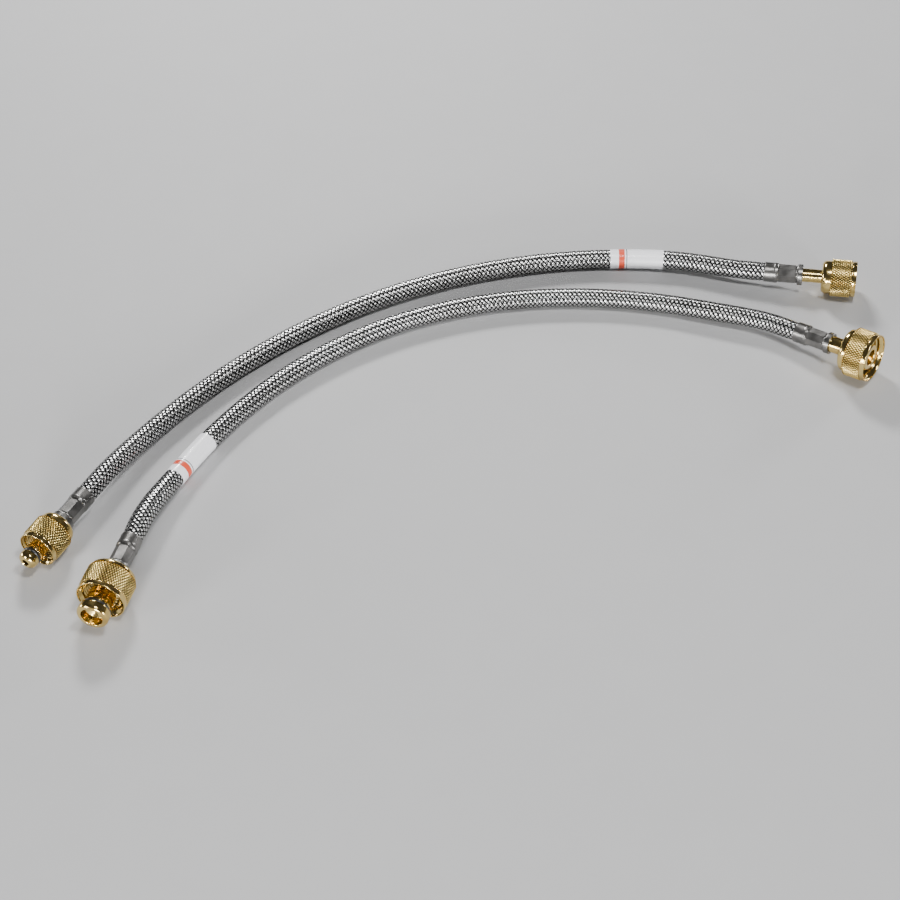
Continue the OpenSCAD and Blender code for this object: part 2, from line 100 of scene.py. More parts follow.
# Gaps between pieces that touch or slide
SEAT_GAP = 0.05
WASHER_GAP = 0.1
STOP_GAP = 0.1
NUT_CLEAR = 0.08

# Hand nut: the knurl's edge, depth, angle from the axis, points for each ridge and
# groove in front of it, and the thread's depth and points for each turn
KNURL_EDGE = 0.35
KNURL_DEEP = 0.46
KNURL_ANGLE = 33.5
KNURL_STEPS = 8
KNURL_GROOVE_W = 0.6
THREAD_DEEP = 0.62
THREAD_STEPS = 8


class Union:
    """Sizes of one end's fitting, and where it lies."""

    def __init__(self, name, x, y, turn, tilt, sizes, nut_at=None):
        self.name = name
        for key, value in sizes.items():
            setattr(self, key, value)
        stack = self.back_t + WASHER_GAP + WASHER_T + STOP_GAP
        self.nut_at = self.shoulder_at - stack if nut_at is None else nut_at
        slope, heading = math.radians(tilt), math.radians(turn)
        # the knurl's rear edge rests on the floor
        edge_at = self.nut_at + self.collar_w + KNURL_EDGE
        height = self.nut_d / 2 * math.cos(slope) - edge_at * math.sin(slope)
        self.origin = np.array([x, y, height])
        self.axis = np.array(
            [
                math.cos(slope) * math.cos(heading),
                math.cos(slope) * math.sin(heading),
                math.sin(slope),
            ]
        )
        self.side = np.array([-math.sin(heading), math.cos(heading), 0.0])
        self.up = np.cross(self.side, self.axis)

    def at(self, t):
        """The point on the fitting's axis at t."""
        return self.origin + t * self.axis

    def place(self, x, y, t):
        """Local coordinates, with t along the axis, carried to this end of the hose."""
        return (
            self.origin
            - x[..., None] * self.up
            + y[..., None] * self.side
            + t[..., None] * self.axis
        )


# Names in _d are diameters, _at are distances t, _w and _len are widths along the
# axis, _t is a wall, and teeth counts the knurl's ridges of one hand.
BIG_LEFT = dict(
    nut_d=26.6, nut_len=18.4, rim_d=26.2, rim_w=2.5, collar_d=25.2, back_d=21.5,
    collar_w=3.4, collar_round=2.2, back_t=3.6, thread_d=20.2, rim_t=0.7,
    mouth_w=0.8, stem_d=9.5, shoulder_d=14.0, shoulder_at=15.6, groove_at=24.4,
    groove_d=11.8, nose_d=17.0, tip_at=31.5, nose_round=1.8, socket_d=11.6,
    socket_deep=5.0, teeth=54, thread_pitch=1.81,
)  # fmt: skip
BIG_RIGHT = dict(
    nut_d=28.2, nut_len=17.7, rim_d=27.6, rim_w=2.2, collar_d=24.8, back_d=20.0,
    collar_w=4.7, collar_round=3.0, back_t=3.5, thread_d=22.0, rim_t=0.7,
    mouth_w=0.8, stem_d=9.5, shoulder_d=13.0, shoulder_at=13.2, groove_at=18.3,
    groove_d=10.8, nose_d=15.4, tip_at=24.4, nose_round=1.2, socket_d=9.4,
    socket_deep=3.4, teeth=57, thread_pitch=1.81,
)  # fmt: skip
SMALL = dict(
    nut_d=21.8, nut_len=20.0, rim_d=21.0, rim_w=2.2, collar_d=19.6, back_d=15.0,
    collar_w=5.3, collar_round=3.0, back_t=4.0, thread_d=16.8, rim_t=0.65,
    mouth_w=0.8, stem_d=8.0, shoulder_d=9.8, shoulder_at=16.3, groove_at=24.0,
    groove_d=6.8, nose_d=10.4, tip_at=31.0, nose_round=3.0, socket_d=None,
    teeth=44, thread_pitch=1.34,
)  # fmt: skip

FRONT_LEFT = Union("front_left", -183.0, -104.5, 254.5, 0.0, BIG_LEFT, nut_at=1.5)
FRONT_RIGHT = Union("front_right", 205.7, 64.7, -35.5, 6.5, BIG_RIGHT)
REAR_LEFT = Union("rear_left", -215.9, -69.7, 242.0, 0.0, SMALL, nut_at=1.0)
REAR_RIGHT = Union("rear_right", 196.9, 126.7, -11.0, 3.0, SMALL)

# Where each hose runs over the floor: x, y, and its lift above the lying height
FRONT_POINTS = [
    (-162, -40, 3.2), (-147, -10, 0), (-128, 18, 0), (-106, 44, 0),
    (-80, 66, 0), (-51, 85, 0), (-20, 98, 0), (12, 107, 0),
    (46, 111, 0), (80, 111, 0), (114, 106, 0), (146, 96, 1.6),
]  # fmt: skip
REAR_POINTS = [
    (-184, -10, 2.2), (-164, 17, 0), (-142, 43, 0), (-118, 66, 0),
    (-91, 87, 0), (-63, 105, 0), (-33, 120, 0), (-2, 132, 0),
    (31, 140, 0), (64, 145, 0), (98, 146, 0), (131, 142, 1.2),
]  # fmt: skip

# ---------------------------------------------------------------- mesh tools

# UV lengths per millimetre of a turned profile
UV_PER_MM = 0.1


def make_piece(name, points, faces, uv=None, sharp=None):
    """A mesh piece from vertices in millimetres, faces as rows of indices of one
    length, a UV for each corner, and the angle past which an edge is sharp."""
    mesh = bpy.data.meshes.new(name)
    corners = faces.shape[1]
    mesh.vertices.add(len(points))
    mesh.vertices.foreach_set("co", (points * MM).astype(np.float32).ravel())
    mesh.loops.add(faces.size)
    mesh.loops.foreach_set("vertex_index", faces.astype(np.int32).ravel())
    mesh.polygons.add(len(faces))
    starts = np.arange(0, faces.size, corners, dtype=np.int32)
    mesh.polygons.foreach_set("loop_start", starts)
    mesh.update(calc_edges=True)
    if uv is not None:
        layer = mesh.uv_layers.new(name="UVMap")
        layer.data.foreach_set("uv", uv.astype(np.float32).ravel())
    mesh.polygons.foreach_set("use_smooth", np.ones(len(faces), bool))
    if sharp is not None:
        mesh.set_sharp_from_angle(angle=math.radians(sharp))
    mesh.validate()
    piece = bpy.data.objects.new(name, mesh)
    bpy.context.scene.collection.objects.link(piece)
    return piece


def torus_faces(rows, columns):
    """Quads of a grid that closes both ways, and the row and column of each quad."""
    i, j = np.meshgrid(np.arange(rows), np.arange(columns), indexing="ij")
    a = i * columns + j
    b = ((i + 1) % rows) * columns + j
    c = ((i + 1) % rows) * columns + (j + 1) % columns
    d = i * columns + (j + 1) % columns
    return np.stack([a, b, c, d], -1).reshape(-1, 4), (i.ravel(), j.ravel())


def around(columns):
    """Even angles round a full turn, without the last, which is the first again."""
    return np.arange(columns) * (FULL_TURN / columns)


def corner_pairs(first, second, across_first):
    """A value for the four corners of quads whose sides lie at first and second."""
    if across_first:
        return np.stack([first, first, second, second], -1)
    return np.stack([first, second, second, first], -1)


def run_length(points):
    """The distance run along a row of points, from 0 at the first."""
    legs = np.linalg.norm(np.diff(points, axis=0), axis=1)
    return np.concatenate([[0], np.cumsum(legs)])


def rounded(corners, radius, steps=3):
    """A closed outline whose corners are short quadratic arcs that start `radius`
    from the corner, or just under half-way along the shorter side."""
    p = np.array(corners, float)
    before, after = np.roll(p, 1, 0) - p, np.roll(p, -1, 0) - p
    la, lb = np.linalg.norm(before, axis=1), np.linalg.norm(after, axis=1)
    d = np.minimum(radius, 0.45 * np.minimum(la, lb))
    start = p + before * (d / la)[:, None]
    stop = p + after * (d / lb)[:, None]
    s = np.linspace(0, 1, steps + 1)[None, :, None]
    arcs = (
        (1 - s) ** 2 * start[:, None]
        + 2 * s * (1 - s) * p[:, None]
        + s**2 * stop[:, None]
    )
    return arcs.reshape(-1, 2)


def rounded_between(corners, radius, steps):
    """The same arcs, without those of the first and the last corner."""
    return rounded(corners, radius, steps)[steps + 1 : -steps - 1]


def thick_rows(outline, longest):
    """The same closed outline with extra points: no step is longer than `longest`."""
    parts = []
    for a, b in zip(outline, np.roll(outline, -1, 0)):
        n = max(1, math.ceil(np.linalg.norm(b - a) / longest - 1e-6))
        parts.append(a + (b - a) * (np.arange(n) / n)[:, None])
    return np.concatenate(parts)


def turned(union, name, outline, columns, shape=None, sharp=38):
    """A closed outline of (radius, t) turned about the fitting's axis.

    shape(r, t, angle) may change the radii.
    """
    r, t = outline[:, 0], outline[:, 1]
    rr, aa = np.meshgrid(r, around(columns), indexing="ij")
    tt = np.broadcast_to(t[:, None], rr.shape)
    if shape is not None:
        rr = shape(rr, tt, aa)
    points = union.place(rr * np.cos(aa), rr * np.sin(aa), tt).reshape(-1, 3)
    faces, (i, j) = torus_faces(len(r), columns)
    run = run_length(np.concatenate([outline, outline[:1]]))
    u = corner_pairs(j, j + 1, True) / columns
    v = corner_pairs(run[i], run[i + 1], False) * UV_PER_MM
    area = 0.5 * np.sum(r * np.roll(t, -1) - np.roll(r, -1) * t)
    if area > 0:
        faces, u, v = faces[:, ::-1], u[:, ::-1], v[:, ::-1]
    return make_piece(name, points, faces, np.stack([u, v], -1), sharp)


# ---------------------------------------------------------------- hose centreline

# Weight that holds the route's two ends, and weight of its third differences
END_HOLD = 1e4
EASE = 0.6
# Points along the free hose, and along each straight end
BEND_POINTS = 1200
END_POINTS = 40


def eased(points):
    """Route points with their small unevenness taken out: the nearest set whose third
    differences are small."""
    n = len(points)
    d = np.zeros((n - 3, n))
    for k, c in enumerate((-1, 3, -3, 1)):
        d[np.arange(n - 3), np.arange(n - 3) + k] = c
    keep = np.eye(n)
    keep[0, 0] = keep[-1, -1] = END_HOLD
    return np.linalg.solve(keep + EASE * d.T @ d, keep @ points)


def clamped_spline(p, start, stop, count):
    """A smooth cubic curve through p, which leaves along start and arrives along stop,
    as `count` even points."""
    k = run_length(p)
    h, n = np.diff(k), len(p)
    a, b = np.zeros((n, n)), np.zeros((n, 3))
    a[0, 0] = a[-1, -1] = 1
    b[0], b[-1] = start, stop
    slope = np.diff(p, axis=0) / h[:, None]
    for i in range(1, n - 1):
        a[i, i - 1], a[i, i], a[i, i + 1] = h[i], 2 * (h[i - 1] + h[i]), h[i - 1]
        b[i] = 3 * (h[i] * slope[i - 1] + h[i - 1] * slope[i])
    m = np.linalg.solve(a, b)
    x = np.linspace(0, k[-1], count)
    i = np.clip(np.searchsorted(k, x, side="right") - 1, 0, n - 2)
    s, g = ((x - k[i]) / h[i])[:, None], h[i][:, None]
    return (
        (1 + 2 * s) * (1 - s) ** 2 * p[i]
        + s * (1 - s) ** 2 * g * m[i]
        + s**2 * (3 - 2 * s) * p[i + 1]
        - s**2 * (1 - s) * g * m[i + 1]
    )


class Route:
    """A hose's centreline by distance s from its left ferrule's mouth, with the side
    and up directions along it."""

    def __init__(self, left, right, points):
        free = [(x, y, LIE_Z + lift) for x, y, lift in points]
        first = left.at(-FERRULE_LEN - EXIT_LEN)
        last = right.at(-FERRULE_LEN - EXIT_LEN)
        nodes = eased(np.array([first, *free, last]))
        bend = clamped_spline(nodes, -left.axis, right.axis, BEND_POINTS)
        inner = FERRULE_LEN - HOSE_STOP
        lead = np.linspace(-inner, EXIT_LEN, END_POINTS)[:-1]
        head = left.at(0)[None] - (FERRULE_LEN + lead)[:, None] * left.axis
        tail = right.at(0)[None] - (FERRULE_LEN + lead[::-1])[:, None] * right.axis
        self.line = np.concatenate([head, bend, tail])
        self.s = run_length(self.line) - inner
        self.length = self.s[-1] - inner
        along = np.gradient(self.line, self.s, axis=0)
        along /= np.linalg.norm(along, axis=1)[:, None]
        self.side = np.cross([0.0, 0.0, 1.0], along)
        self.side /= np.linalg.norm(self.side, axis=1)[:, None]
        self.up = np.cross(along, self.side)

    def read(self, table, s):
        """Rows of a table kept along the centreline, at distances s of any shape."""
        return np.stack([np.interp(s, self.s, table[:, k]) for k in range(3)], -1)

    def skin(self, s, angle, radius):
        """Points at distance s, angle round the hose and radius from its middle."""
        return (
            self.read(self.line, s)
            + (radius * np.cos(angle))[..., None] * self.read(self.side, s)
            + (radius * np.sin(angle))[..., None] * self.read(self.up, s)
        )

    def from_ends(self, s):
        """Distance to the nearer ferrule's mouth, below zero inside a ferrule."""
        return np.minimum(s, self.length - s)


def step(x, low, high):
    """A smooth rise from 0 at low to 1 at high."""
    x = np.clip((x - low) / (high - low), 0, 1)
    return x * x * (3 - 2 * x)


FRONT_ROUTE = Route(FRONT_LEFT, FRONT_RIGHT, FRONT_POINTS)
REAR_ROUTE = Route(REAR_LEFT, REAR_RIGHT, REAR_POINTS)

# ---------------------------------------------------------------- hoses

# How far the mouth and the crimp draw the hose in, and where: the mouth's part falls
# to nothing outside the ferrule, and the crimp's between two depths inside it
MOUTH_SQUEEZE, MOUTH_RUN = 0.22, 5.0
CRIMP_SQUEEZE, CRIMP_FROM, CRIMP_TO = 0.6, -7.5, -4.5

# Rubber tube: how far the crimp closes its bore, and its columns and rows of points
BORE_SQUEEZE, BORE_FROM, BORE_TO = 0.4, -8, -2
TUBE_COLUMNS, TUBE_ROWS, TUBE_END_ROWS = 24, 240, 8
TUBE_UV_ROW = 0.2

# Woven sleeve: tapes each way, the length of one turn, a tape's width as a share of
# the room between two tapes, its thickness, half the height of its weave, and how far
# its middle lies under the round that its edges lie on
CARRIERS = 10
FRONT_LEAD, REAR_LEAD = 26.33, 27.0
TAPE_W = 0.8
TAPE_T = 0.13
WAVE = 0.1
FLATNESS = 0.13
# How steep the weave's cosine is, rows of points for each tape passed, and how far
# the tapes reach into a ferrule
STEEPNESS = 1.5
WAVE_ROWS = 8
TAPE_INSIDE = 4.5
# A tape's section, as five points on its top and two under it: the place sideways,
# top or underside, and the share of the UV's width
SECTION_SIDEWAYS = np.array([-1.0, -0.5, 0.0, 0.5, 1.0, 0.7, -0.7])
SECTION_TOP = np.array([1.0, 1.0, 1.0, 1.0, 1.0, -1.0, -1.0])
SECTION_U = np.array([0.0, 0.25, 0.5, 0.75, 1.0, 0.8, 0.2])

# The front sleeve is fuller for a few centimetres near its left ferrule: by how much,
# and where it swells and settles again
FULLER, SWELL, SETTLE = 0.3, (1.0, 8.0), (26.0, 60.0)

# Where each label starts along its hose, and its width
FRONT_LABEL, REAR_LABEL = (51.0, 33.0), (368.0, 32.0)
# Label: the film's two sides above the sleeve, the depth of its dents and how many
# waves make them, and how far its cut edges lie down
FILM_OUT, FILM_IN = 0.2, 0.06
DENT_DEEP, DENT_WAVES = 0.055, 14
EDGE_DOWN, EDGE_W = 0.03, 1.2
# The seam: where it is, its slant for each millimetre, and its lift, which rises and
# then falls by the angle from the seam
SEAM_AT, SEAM_SLANT, SEAM_LIFT = math.radians(215), 0.004, 0.09
SEAM_RISE, SEAM_FALL = (0.0, 0.02), (0.4, 1.6)
LABEL_ROWS, LABEL_COLUMNS = 56, 168


def squeeze(route, s):
    """How far the hose's outside is drawn in by the ferrules at distance s."""
    d = route.from_ends(s)
    mouth = MOUTH_SQUEEZE * (1 - step(d, 0.0, MOUTH_RUN))
    return mouth + CRIMP_SQUEEZE * (1 - step(d, CRIMP_FROM, CRIMP_TO))


def inner_tube(route, name):
    """The rubber tube: hollow, of circles along the centreline, and closed at both
    cut ends."""
    s = np.concatenate(
        [
            np.linspace(route.s[0], 0, TUBE_END_ROWS)[:-1],
            np.linspace(0, route.length, TUBE_ROWS),
            np.linspace(route.length, route.s[-1], TUBE_END_ROWS)[1:],
        ]
    )
    outer = LINER_R - squeeze(route, s)
    pinch = BORE_SQUEEZE * (1 - step(route.from_ends(s), BORE_FROM, BORE_TO))
    loop_s = np.concatenate([s, s[::-1]])
    loop_r = np.concatenate([outer, (LINER_BORE_R - pinch)[::-1]])
    ss, aa = np.meshgrid(loop_s, around(TUBE_COLUMNS), indexing="ij")
    rr = np.broadcast_to(loop_r[:, None], ss.shape)
    faces, (i, j) = torus_faces(len(loop_s), TUBE_COLUMNS)
    u = corner_pairs(j, j + 1, True) / TUBE_COLUMNS
    v = corner_pairs(i, i + 1, False) * TUBE_UV_ROW
    points = route.skin(ss, aa, rr).reshape(-1, 3)
    return make_piece(name, points, faces, np.stack([u, v], -1), sharp=60)


def tape_set(route, name, hand, first, count, lead, fat):
    """Flat wire tapes wound one way.

    A tape's middle line is a helix of the given lead. Its height is a steep cosine of
    the number of opposite tapes passed, up where it passes over and down where it
    passes under. It stays nearly flat across, so its edges stand a little higher than
    its middle. Each tape is a flat tube whose two ends are inside the ferrules.
    """
    start, stop = -TAPE_INSIDE, route.length + TAPE_INSIDE
    rows = int((stop - start) / (lead / CARRIERS) * WAVE_ROWS)
    pitch = FULL_TURN / CARRIERS
    s0 = np.linspace(start, stop, rows)[:, None]
    k = np.arange(first, first + count)[:, None, None]
    half = TAPE_W / 2 * SECTION_SIDEWAYS[None, :]
    # steps sideways follow the opposite tapes' direction, so crossings stay aligned
    s = s0 - half * (lead / CARRIERS) / 2
    turns = (k + 0.5 * (hand < 0)) * pitch + FULL_TURN * s0[None] / lead
    angle = turns + half[None] * pitch / 2
    passed = 2 * s0 * CARRIERS / lead + 0.5
    swing = np.tanh(STEEPNESS * np.cos(math.pi * passed)) / math.tanh(STEEPNESS)
    lift = WAVE * (swing if hand > 0 else -swing)
    middle = HOSE_R - WAVE - TAPE_T / 2 + fat(s) - squeeze(route, s)
    radius = middle + lift + FLATNESS * (SECTION_SIDEWAYS[None] ** 2 - 1)
    radius = radius + SECTION_TOP[None] * TAPE_T / 2
    ss = np.broadcast_to(s[None], angle.shape)
    rr = np.broadcast_to(radius[None], angle.shape)
    points = route.skin(ss, hand * angle, rr)

    n, m, c = points.shape[:3]
    i, j = np.meshgrid(np.arange(m - 1), np.arange(c), indexing="ij")
    jn = (j + 1) % c
    one = np.stack([i * c + j, (i + 1) * c + j, (i + 1) * c + jn, i * c + jn], -1)
    one = one.reshape(-1, 4)
    u = corner_pairs(SECTION_U[j], SECTION_U[jn], True).reshape(-1, 4)
    tally = passed[:, 0] + (hand < 0)
    v = tally[corner_pairs(i, i + 1, False).reshape(-1, 4)]
    if hand > 0:
        one, u, v = one[:, ::-1], u[:, ::-1], v[:, ::-1]
    faces = (one[None] + (np.arange(n) * m * c)[:, None, None]).reshape(-1, 4)
    uv = np.stack([np.tile(u, (n, 1)), np.tile(v, (n, 1))], -1)
    return make_piece(name, points.reshape(-1, 3), faces, uv, sharp=50)


def wrap_label(route, name, start, width, seed):
    """A film wrapped round the sleeve: a thin closed shell whose skin has shallow
    dents, a sum of random waves, and lifts at its overlapping seam."""
    dice = np.random.default_rng(seed)
    s = np.linspace(start, start + width, LABEL_ROWS)
    ss, aa = np.meshgrid(s, around(LABEL_COLUMNS), indexing="ij")
    dent = np.zeros_like(ss)
    for _ in range(DENT_WAVES):
        k, w = dice.integers(1, 7), dice.uniform(0.1, 0.9)
        phase, depth = dice.uniform(0, 6.3), dice.uniform(0.2, 1)
        dent += np.cos(k * aa + w * ss + phase) * depth / DENT_WAVES
    skin = HOSE_R + FILM_OUT + DENT_DEEP * dent
    end = np.minimum(ss - start, start + width - ss)
    skin = skin - EDGE_DOWN * (1 - step(end, 0, EDGE_W))
    seam = (aa - SEAM_AT - SEAM_SLANT * (ss - start)) % FULL_TURN
    skin = skin + SEAM_LIFT * step(seam, *SEAM_RISE) * (1 - step(seam, *SEAM_FALL))
    outer = route.skin(ss, aa, skin)
    inner = route.skin(ss, aa, np.full_like(ss, HOSE_R + FILM_IN))
    loop = np.concatenate([outer, inner[::-1]])
    faces, (i, j) = torus_faces(len(loop), LABEL_COLUMNS)
    place = np.concatenate([s, s[::-1]])
    following = (i + 1) % len(loop)
    u = (corner_pairs(place[i], place[following], False) - start) / width
    v = corner_pairs(j, j + 1, True) / LABEL_COLUMNS
    uv = np.stack([u, v], -1)[:, ::-1]
    return make_piece(name, loop.reshape(-1, 3), faces[:, ::-1], uv, sharp=40)


def snug(s):
    """The sleeve lies evenly on its tube."""
    return np.zeros_like(s)


def loose_left(s):
    """The sleeve is a little fuller for a few centimetres near its left ferrule."""
    return FULLER * step(s, *SWELL) * (1 - step(s, *SETTLE))


def make_hose(prefix, route, lead, label_at, label_w, fat, seed):
    """One hose: its rubber tube, its sleeve in four sets of tapes, and its label."""
    core = inner_tube(route, prefix + "_inner_tube")
    in_set = CARRIERS // 2
    tapes = []
    for hand, word in ((1, "right"), (-1, "left")):
        for k in (0, 1):
            name = f"{prefix}_{word}_tapes_{k + 1}"
            tapes.append(tape_set(route, name, hand, k * in_set, in_set, lead, fat))
    wrap = wrap_label(route, prefix + "_wrap", label_at, label_w, seed)
    for piece in [core, *tapes, wrap]:
        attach(piece, ROOT)
    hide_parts(prefix + "_liner")
    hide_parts(prefix + "_braid")
    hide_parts(prefix + "_label")
    mouth = route.read(route.line, np.array([0.0]))[0] * MM
    return core, tapes, wrap


front_core, front_tapes, front_wrap = make_hose(
    "front", FRONT_ROUTE, FRONT_LEAD, *FRONT_LABEL, fat=loose_left, seed=3
)
rear_core, rear_tapes, rear_wrap = make_hose(
    "rear", REAR_ROUTE, REAR_LEAD, *REAR_LABEL, fat=snug, seed=5
)

# ---------------------------------------------------------------- fittings


def steel_ferrule(union):
    """A drawn steel sleeve: rolled lip, groove, crimp, a step, and a plain mouth.

    In the crimp the radius is the smaller of a circle's and a polygon's, blended where
    the two meet, so that the polygon's corners are soft.
    """
    # the small lengths are the slants and beads between one part and the next
    bore = union.stem_d / 2 + SEAT_GAP
    neck, bead = CRIMP_FLAT_R - 0.15, BELL_R + 0.12
    groove_at, step_at = -LIP_W - LIP_GROOVE_W, -CRIMP_END - CRIMP_STEP_W
    corners = [
        (bore, 0.0), (LIP_R, 0.0), (LIP_R, -LIP_W), (neck, -LIP_W - 0.2),
        (neck, groove_at), (BELL_R, groove_at - 0.5), (BELL_R, -CRIMP_END - 0.1),
        (bead, -CRIMP_END - 0.7), (bead, step_at), (BELL_R, step_at - 0.3),
        (BELL_R, -FERRULE_LEN), (FERRULE_MOUTH_R, -FERRULE_LEN),
        (FERRULE_MOUTH_R, step_at), (FERRULE_CRIMP_R, -CRIMP_END),
        (FERRULE_CRIMP_R, -LIP_W), (bore, -LIP_W),
    ]  # fmt: skip
    outline = thick_rows(rounded(corners, 0.35, steps=4), longest=0.45)
    corner_soft = 0.12
    run_out, run_out_from, run_out_to = 0.8, CRIMP_END - 0.9, CRIMP_END + 0.1
    outer_skin_r = 5.0

    def pressed(r, t, angle):
        half = math.pi / CRIMP_FLATS
        from_flat = (angle + half) % (2 * half) - half
        flat = CRIMP_FLAT_R / np.cos(from_flat)
        flat = flat + run_out * step(-t, run_out_from, run_out_to)
        mix = np.clip(0.5 + (flat - r) / (2 * corner_soft), 0, 1)
        soft = r * mix + flat * (1 - mix) - corner_soft * mix * (1 - mix)
        in_crimp = (t < groove_at - 0.05) & (t > -CRIMP_END - 0.2)
        return np.where(in_crimp & (r > outer_skin_r), soft, r)

    name = union.name + "_steel_ferrule"
    return turned(union, name, outline, columns=192, shape=pressed)


def ellipse_arc(centre_r, centre_t, w, h, a0, a1, n):
    """Points of an ellipse's arc in the (radius, t) plane, between two angles in
    degrees."""
    a = np.radians(np.linspace(a0, a1, n))
    return np.stack([centre_r + w * np.cos(a), centre_t + h * np.sin(a)], -1)


def brass_tailpiece(union):
    """The turned brass body: barbed tail, stem, shoulder, seal groove and nose, open
    right through. The nose has a socket with a rounded rim, or a small plain port."""
    stem, shoulder = union.stem_d / 2, union.shoulder_d / 2
    groove, nose = union.groove_d / 2, union.nose_d / 2
    s_at, g_at, tip = union.shoulder_at, union.groove_at, union.tip_at
    barbs, valley = 4, TAIL_R - 0.35
    body = [(TAIL_BORE_R, -TAIL_LEN), (valley, -TAIL_LEN)]
    pitch = (TAIL_LEN - HOSE_STOP - 1) / barbs
    for k in range(barbs):
        t = -TAIL_LEN + k * pitch
        body += [(TAIL_R, t + pitch * 0.75), (TAIL_R, t + pitch * 0.85)]
        body += [(valley, t + pitch * 0.9)]
    body += [
        (valley, -LIP_W + SEAT_GAP), (stem, -LIP_W + SEAT_GAP), (stem, s_at),
        (shoulder, s_at), (shoulder, g_at), (groove, g_at),
        (groove, g_at + SEAL_GROOVE_W), (nose, g_at + SEAL_GROOVE_W),
    ]  # fmt: skip
    edge = 0.4
    rim = union.nose_round
    if union.socket_d:
        k, floor_t = union.socket_d / 2, tip - union.socket_deep
        crown = ellipse_arc(nose - rim, tip - rim, rim, rim, 0, 90, 10)
        inside = ellipse_arc(k + edge, tip - edge, edge, edge, 90, 180, 5)
        bore = [(k, floor_t), (TAIL_BORE_R, floor_t - (k - TAIL_BORE_R) * 0.6)]
    else:
        port, port_deep = 1.8, 4.0
        flat_r = port + edge
        crown = ellipse_arc(flat_r, tip - rim, nose - port - edge, rim, 0, 90, 14)
        inside = np.array([(port, tip - edge)])
        bore = [(port, tip - port_deep), (TAIL_BORE_R, tip - port_deep)]
    steps = 3
    body = rounded([*body, tuple(crown[0])], 0.28, steps)[: -steps - 1]
    outline = np.concatenate([body, crown, inside, np.array(bore)])
    outline = thick_rows(outline, longest=1.2)
    return turned(union, union.name + "_brass_body", outline, columns=128, sharp=32)


def seal_ring(union):
    """A rubber ring of round section in the groove behind the nose."""
    a = np.linspace(0, FULL_TURN, 28, endpoint=False)
    r = union.groove_d / 2 + ORING_T / 2 + SEAT_GAP + ORING_T / 2 * np.cos(a)
    t = union.groove_at + SEAL_GROOVE_W / 2 + ORING_T / 2 * np.sin(a)
    outline = np.stack([r, t], -1)
    return turned(union, union.name + "_seal_ring", outline, columns=96, sharp=80)


def slip_washer(union):
    """A flat steel washer between the nut's back wall and the shoulder."""
    inner = union.stem_d / 2 + 0.15
    outer = union.thread_d / 2 - 0.4
    t = union.nut_at + union.back_t + WASHER_GAP
    corners = [(inner, t), (outer, t), (outer, t + WASHER_T), (inner, t + WASHER_T)]
    outline = rounded(corners, 0.15)
    return turned(union, union.name + "_slip_ring", outline, columns=96)


def zigzag(x):
    """A wave that runs straight from 0 at whole numbers to 1 half-way between them."""
    return 1 - np.abs(2 * (x % 1.0) - 1)


def map_diamonds(piece, teeth, pitch, on_band, t):
    """On the knurled band the UVs become the counts of the two crossing waves, so that
    a shader can find the diamonds' edges, and those faces take the second material."""
    mesh, columns = piece.data, teeth * KNURL_STEPS
    index = np.empty(len(mesh.loops), np.int32)
    mesh.loops.foreach_get("vertex_index", index)
    row, column = np.divmod(index.reshape(-1, 4), columns)
    wraps = column.max(1, keepdims=True) == columns - 1
    column = np.where((column == 0) & wraps, columns, column)
    band = (row >= on_band[0]).all(1) & (row <= on_band[-1]).all(1)
    uv = np.empty(len(mesh.loops) * 2, np.float32)
    mesh.uv_layers[0].data.foreach_get("uv", uv)
    uv = uv.reshape(-1, 4, 2)
    turn, climb = column / KNURL_STEPS, t[row] / pitch
    uv[band] = np.stack([turn + climb, turn - climb], -1)[band]
    mesh.uv_layers[0].data.foreach_set("uv", uv.ravel())
    mesh.polygons.foreach_set("material_index", band.astype(np.int32))


def even_wall(radius, start, stop, spacing):
    """Profile points of a straight wall at one radius, about `spacing` apart."""
    rows = int(round(abs(stop - start) / spacing))
    return np.stack([np.full(rows + 1, radius), np.linspace(start, stop, rows + 1)], -1)


